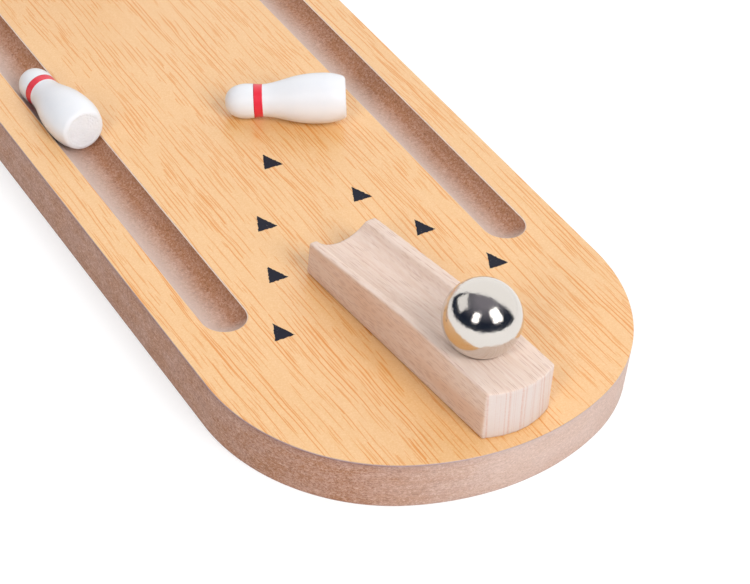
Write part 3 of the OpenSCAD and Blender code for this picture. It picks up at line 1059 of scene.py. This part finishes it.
def turned_tree(name, extra):
    """Starts a Geometry Nodes tree that bends a grid into a body of revolution. Gives back the
    tree, its inputs, and the shares round the axis and along the outline."""
    inputs = {"Float": [*PIN_SIZES, *extra], "Int": ["Rings", "Sides"], "Material": ["Material"]}
    tree, given = geometry_group(name, inputs, "Geometry", "Geometry")
    spot = add(tree, "GeometryNodeInputPosition", {}, 0)
    around, along = (add(tree, "ShaderNodeSeparateXYZ", {"Vector": spot}, axis) + 0.5 for axis in range(2))
    return tree, given, around, along


def close_turned(tree, given, around, radius, rise):
    """Ends such a tree: bends the grid round the axis, closes it and gives it its material."""
    grid = {"Size X": 1.0, "Size Y": 1.0, "Vertices X": given["Sides"], "Vertices Y": given["Rings"]}
    shape = add(tree, "GeometryNodeMeshGrid", grid, 0)
    for name, number in (("rise", rise), ("off_axis", radius)):
        kept = {"Geometry": shape, "Name": name, "Value": number / MM}
        shape = add(tree, "GeometryNodeStoreNamedAttribute", kept, 0, data_type="FLOAT", domain="POINT")
    angle = around * (2 * math.pi)
    place = {"X": radius * angle.math("COSINE"), "Y": radius * angle.math("SINE"), "Z": rise}
    moved = {"Geometry": shape, "Position": add(tree, "ShaderNodeCombineXYZ", place, 0)}
    bent = add(tree, "GeometryNodeSetPosition", moved, 0)
    closed = add(tree, "GeometryNodeMergeByDistance", {"Geometry": bent, "Distance": 2 * SEAM}, 0)
    smooth = add(tree, "GeometryNodeSetShadeSmooth", {"Geometry": closed}, 0)
    real = add(tree, "GeometryNodeRealizeInstances", {"Geometry": smooth}, 0)
    painted = add(tree, "GeometryNodeSetMaterial", {"Geometry": real, "Material": given["Material"]}, 0)
    add(tree, "NodeGroupOutput", {"Geometry": painted})


def pin_tree(rule):
    """Geometry Nodes: a turned pin, with a flat base whose edge is rounded. The first ring and
    the last lie on the axis, the second on the base, and the others are closer together
    towards the base and the crown."""
    tree, given, around, along = turned_tree("Turned pin", ("Base rounding",))
    first = 1 / (given["Rings"] - 1)
    climb = (along - first).most(0) / (1 - first)
    rise = given["Height"] * (1 - (climb * math.pi).math("COSINE")) / 2
    group = {"Rise": rise, **{size: given[size] for size in PIN_SIZES}}
    ruled = add(tree, "GeometryNodeGroup", group, 0, node_tree=rule)
    ease = given["Base rounding"]
    drawn_in = ease - (ease**2 - (ease - rise).most(0) ** 2).most(0) ** 0.5
    turned = along.over(first / 2) * (1 - along.over(1 - first / 2))
    close_turned(tree, given, around, (ruled - drawn_in) * turned, rise)
    return tree


def band_tree(rule):
    """Geometry Nodes: a band of paint round a pin, as a closed film. A quarter of the rings
    goes to its inside, and the same to its lower edge, its outside and its upper edge."""
    tree, given, around, along = turned_tree("Painted band", ("Band height", "Band width", "Film", "Sunk"))
    # Up the outside from 1/8 to 3/8 of the way along, over its edge to 5/8, down inside to 7/8
    climb = (1.5 - abs(along * 4 - 2)).least(1).most(0)
    outside = 1 - abs(along - 0.375).over(0.25)
    rise = given["Band height"] + given["Band width"] * climb
    group = {"Rise": rise, **{size: given[size] for size in PIN_SIZES}}
    ruled = add(tree, "GeometryNodeGroup", group, 0, node_tree=rule)
    radius = ruled + given["Film"] * outside - given["Sunk"] * (1 - outside)
    close_turned(tree, given, around, radius, rise)
    return tree


def pin_sizes(settings):
    """A pin's main sizes, by the names of the trees' inputs."""
    tall, *others = PIN_SIZES
    return {tall: PIN_HEIGHT, **{name: getattr(settings, name.lower().replace(" ", "_")) for name in others}}


def pin_place(n):
    """Where a pin stands or lies. Its band gives its axis, and its flat base where it starts."""
    pin, band = (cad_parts[node].data.vertices for node in (f"pin_{n}", f"pin_{n}_band"))
    points = np.array(sorted({tuple(round(c, 7) for c in v.co) for v in band}))
    middle = points.mean(axis=0)
    axis = np.linalg.svd(points - middle)[2][-1]
    reach = (np.array([v.co for v in pin]) - middle) @ axis
    if reach.max() > -reach.min():
        axis, reach = -axis, -reach
    foot = Vector(middle + axis * reach.min())
    return Matrix.Translation(foot) @ Vector(axis).to_track_quat("Z", "Y").to_matrix().to_4x4()


# Studio

# Heading, elevation, width and tallness of each soft light, in degrees as seen from the game
KEY = (168, 40, 25, 37)
FILL = (-119, 36, 15, 27)
CARD = (-45, 32, 42, 28)
# Brightness of the lamps in times white, and how far away they stand in metres
KEY_LIGHT = 5.6
FILL_LIGHT = 6.8
LAMP_AWAY = 2.0
# Glow of the sweep, of a softbox's face in a mirror and of the grey card, in times white
SWEEP_GLOW = 1.12
FACE_GLOW = 3.0
CARD_GLOW = 1.0
# Heading of the sweep's middle. It fades out between these degrees to each side, and overhead
# where a way leans towards its middle by no more than these shares
SWEEP_HEADING = 53
SWEEP_SIDES = (68, 64)
SWEEP_ENDS = (0.21, 0.27)
# Elevations between which the room goes from the colour of its walls to that of its ceiling
ROOM_RISE = (25, 70)


def box_way(heading, elevation):
    """Way from the game to a soft light at a heading and elevation, in degrees."""
    a, e = math.radians(heading), math.radians(elevation)
    return Vector((math.sin(a) * math.cos(e), math.cos(a) * math.cos(e), math.sin(e)))


def box_face(tree, way, heading, elevation, wide, tall):
    """1 where a way from the game meets a soft light's face, and 0 elsewhere."""
    turned = box_way(heading, elevation).to_track_quat("Z", "Y").to_matrix().transposed()
    aside, upward, ahead = (
        add(tree, "ShaderNodeVectorMath", {0: way, 1: axis}, "Value", operation="DOT_PRODUCT")
        for axis in turned
    )
    across = (ahead * math.tan(math.radians(wide) / 2)).over(abs(aside))
    return ahead.over(0) * across * (ahead * math.tan(math.radians(tall) / 2)).over(abs(upward))


def studio_world():
    """A dark room with a wide white sweep behind the game, the faces of the two softboxes and a
    grey card. The camera itself sees plain white."""
    world = bpy.data.worlds.new("Studio room")
    bpy.context.scene.world = world
    world.use_nodes = True
    tree = world.node_tree
    tree.nodes.clear()
    way = add(tree, "ShaderNodeTexCoord", {}, "Generated")
    x, y, z = (add(tree, "ShaderNodeSeparateXYZ", {"Vector": way}, axis) for axis in range(3))
    heading = x.math("ARCTAN2", x, y) * math.degrees(1)
    elevation = z.math("ARCSINE") * math.degrees(1)
    middle = math.radians(SWEEP_HEADING)
    ahead = x * math.sin(middle) + y * math.cos(middle)
    sweep = ahead.rising(*SWEEP_ENDS) * abs(heading - SWEEP_HEADING).rising(*SWEEP_SIDES)
    faces = ((FACE_GLOW, KEY), (FACE_GLOW, FILL), (CARD_GLOW, CARD))
    glows = [
        (sweep, SWEEP_GLOW),
        *[(box_face(tree, way, *place), glow) for glow, place in faces],
        (add(tree, "ShaderNodeLightPath", {}, "Is Camera Ray"), 1.0),
    ]
    shades = [
        (elevation.rising(*ROOM_RISE), linear("#85838D")),
        *[(share, (glow, glow, glow, 1.0)) for share, glow in glows],
    ]
    shown = linear("#172134")
    for share, shade in shades:
        laid = {"Factor": share, "A": shown, "B": shade}
        shown = add(tree, "ShaderNodeMix", laid, "Result", data_type="RGBA")
    ground = add(tree, "ShaderNodeBackground", {"Color": shown, "Strength": 1.0}, 0)
    add(tree, "ShaderNodeOutputWorld", {"Surface": ground})


def softbox(name, heading, elevation, wide, tall, brightness):
    """The light of a softbox seen from the game at a heading and elevation, as wide and as tall
    as given, in degrees. The world shows its face to mirrors, dimmer, so that gloss doesn't
    burn."""
    way = box_way(heading, elevation)
    light = bpy.data.lights.new(name, "AREA")
    light.shape = "RECTANGLE"
    light.size = 2 * LAMP_AWAY * math.tan(math.radians(wide) / 2)
    light.size_y = 2 * LAMP_AWAY * math.tan(math.radians(tall) / 2)
    light.energy = brightness * math.pi * light.size * light.size_y
    lamp = in_scene(name, light)
    lamp.location = (BALL_LOW + BALL_HIGH) / 2 + way * LAMP_AWAY
    lamp.rotation_mode = "QUATERNION"
    lamp.rotation_quaternion = way.to_track_quat("Z", "Y")
    lamp.visible_camera = False
    lamp.visible_glossy = False


def make_camera(settings):
    """The camera where the photographer had it."""
    camera = bpy.data.cameras.new("Camera")
    camera.lens = settings.lens
    camera.sensor_width = 36.0
    thing = in_scene("Camera", camera)
    level = Matrix.Rotation(-settings.heading, 4, "Z") @ Matrix.Rotation(math.pi / 2 - settings.pitch, 4, "X")
    turned = level @ Matrix.Rotation(settings.roll, 4, "Z")
    thing.matrix_world = Matrix.Translation(settings.camera) @ turned
    bpy.context.scene.camera = thing


def make_floor(material):
    """Paper floor, wide enough for any view."""
    bm = bmesh.new()
    reach = 8.0
    corners = [(-reach, -reach), (reach, -reach), (reach, reach), (-reach, reach)]
    bm.faces.new(ring(bm, corners, CORE_LOW.z))
    floor = mesh_object(bm, "paper_floor")
    floor.data.materials.append(material)


# Operators


class GAME_OT_core(bpy.types.Operator):
    """Builds the fibreboard core"""

    bl_idname = "game.core"
    bl_label = "Fibreboard core"

    def execute(self, context):
        settings = context.scene.game_board
        core = make_core(settings, counterbore_roof=WASHER_HIGH.z)
        dress(core, fibreboard(settings), "board", "fibreboard", "board_core")
        return {"FINISHED"}


class GAME_OT_sheet(bpy.types.Operator):
    """Builds the wood-grain sheet"""

    bl_idname = "game.sheet"
    bl_label = "Wood-grain sheet"

    def execute(self, context):
        settings = context.scene.game_board
        dress(make_sheet(settings), wood_grain_sheet(settings), "board", "grain_sheet", "top_sheet")
        return {"FINISHED"}


class GAME_OT_marks(bpy.types.Operator):
    """Prints the aiming triangles and the pin spots"""

    bl_idname = "game.marks"
    bl_label = "Printed marks"

    def execute(self, context):
        settings = context.scene.game_print
        ink = printing_ink(settings)
        r = settings.spot_radius
        # A three-sided circle of radius 1 is 1.5 long and the root of 3 wide
        wide, long = settings.mark_width / math.sqrt(3), settings.mark_length / 1.5
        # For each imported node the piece's name, and a mark's sides, fineness, width and length
        marks = {
            "aiming_triangles": ("printed_triangles", 3, 4, wide, long),
            "pin_spots": ("printed_spots", 24, 2, r, r),
        }
        for node, (name, *shape) in marks.items():
            dress(make_marks(name, node, *shape, settings, ink), ink, "board", "black_ink", node)
        return {"FINISHED"}


class GAME_OT_ramp(bpy.types.Operator):
    """Builds the beech ramp"""

    bl_idname = "game.ramp"
    bl_label = "Beech ramp"

    def execute(self, context):
        settings = context.scene.game_ramp
        pivot = context.scene.game_pivot
        depth = SCREW_HIGH.z - RAMP_LOW.z
        ramp = make_ramp(settings, pivot.screw_radius, depth)
        dress(ramp, beech(settings, (*PIVOT, RAMP_LOW.z)), "ramp", "beech", "ramp")
        return {"FINISHED"}


class GAME_OT_pivot(bpy.types.Operator):
    """Builds the pivot's screw and washer"""

    bl_idname = "game.pivot"
    bl_label = "Pivot screw and washer"

    def execute(self, context):
        settings = context.scene.game_pivot
        steel = plated_steel(settings)
        dress(make_screw(settings), steel, "ramp", "screw_steel", "pivot_screw")
        dress(make_washer(settings), steel, "board", "screw_steel", "pivot_washer")
        return {"FINISHED"}


class GAME_OT_ball(bpy.types.Operator):
    """Builds the steel ball"""

    bl_idname = "game.ball"
    bl_label = "Steel ball"

    def execute(self, context):
        settings = context.scene.game_ball
        dress(make_ball(settings), polished_steel(settings), "ball", "ball_steel", "ball")
        return {"FINISHED"}


class GAME_OT_pins(bpy.types.Operator):
    """Turns the pins"""

    bl_idname = "game.pins"
    bl_label = "Turned pins"

    def execute(self, context):
        settings = context.scene.game_pins
        white = enamel("White enamel on turned wood", settings.white_colour, linear("#E4E7EC"))
        tree = pin_tree(pin_rule_group())
        values = {
            **pin_sizes(settings),
            "Base rounding": settings.base_round,
            "Rings": PIN_RINGS,
            "Sides": COLUMNS,
        }
        for n in PINS:
            pin = grown(f"turned_pin_{n}", tree, values, white)
            pin.data.transform(pin_place(n))
            dress(pin, white, f"pin_{n}", "white_paint", f"pin_{n}")
        return {"FINISHED"}


class GAME_OT_bands(bpy.types.Operator):
    """Paints the pins' bands"""

    bl_idname = "game.bands"
    bl_label = "Painted bands"

    def execute(self, context):
        settings = context.scene.game_pins
        red = enamel("Red enamel on turned wood", settings.red_colour, linear("#DA2238"))
        tree = band_tree(pin_rule_group())
        values = {
            **pin_sizes(settings),
            "Band height": settings.band_height,
            "Band width": settings.band_width,
            "Film": settings.film,
            "Sunk": settings.film / 2,
            "Rings": BAND_RINGS,
            "Sides": COLUMNS,
        }
        for n in PINS:
            band = grown(f"red_band_{n}", tree, values, red)
            band.data.transform(pin_place(n))
            dress(band, red, f"pin_{n}", "red_paint", f"pin_{n}_band")
        return {"FINISHED"}


class GAME_OT_studio(bpy.types.Operator):
    """Sets up the floor, the lights and the camera"""

    bl_idname = "game.studio"
    bl_label = "Studio"

    def execute(self, context):
        settings = context.scene.game_studio
        context.scene.view_settings.view_transform = "Standard"
        make_camera(settings)
        make_floor(paper(settings))
        studio_world()
        softbox("Key softbox", *KEY, KEY_LIGHT)
        softbox("Fill softbox", *FILL, FILL_LIGHT)
        return {"FINISHED"}


class GAME_PT_panel(bpy.types.Panel):
    """Lists what the add-on builds"""

    bl_label = "Table bowling game"
    bl_idname = "GAME_PT_panel"
    bl_space_type = "VIEW_3D"
    bl_region_type = "UI"
    bl_category = "Bowling"

    def draw(self, context):
        for operator in OPERATORS:
            self.layout.operator(operator.bl_idname)
        for name in SETTINGS:
            box = self.layout.box()
            group = getattr(context.scene, name)
            for key in group.bl_rna.properties.keys():
                if key not in ("rna_type", "name"):
                    box.prop(group, key)


SETTINGS = {
    "game_board": BoardSettings,
    "game_print": PrintSettings,
    "game_ramp": RampSettings,
    "game_pivot": PivotSettings,
    "game_ball": BallSettings,
    "game_pins": PinSettings,
    "game_studio": StudioSettings,
}
OPERATORS = (
    GAME_OT_studio,
    GAME_OT_core,
    GAME_OT_sheet,
    GAME_OT_marks,
    GAME_OT_ramp,
    GAME_OT_pivot,
    GAME_OT_ball,
    GAME_OT_pins,
    GAME_OT_bands,
)


def register():
    """Registers the settings, the operators and the panel."""
    for group in SETTINGS.values():
        bpy.utils.register_class(group)
    for operator in OPERATORS:
        bpy.utils.register_class(operator)
    bpy.utils.register_class(GAME_PT_panel)
    for name, group in SETTINGS.items():
        setattr(bpy.types.Scene, name, PointerProperty(type=group))


def unregister():
    """Undoes register, last first."""
    for name in SETTINGS:
        delattr(bpy.types.Scene, name)
    bpy.utils.unregister_class(GAME_PT_panel)
    for operator in reversed(OPERATORS):
        bpy.utils.unregister_class(operator)
    for group in reversed(SETTINGS.values()):
        bpy.utils.unregister_class(group)


def main():
    """Builds everything."""
    register()
    for operator in OPERATORS:
        area, name = operator.bl_idname.split(".")
        getattr(getattr(bpy.ops, area), name)()


if __name__ == "__main__":
    main()
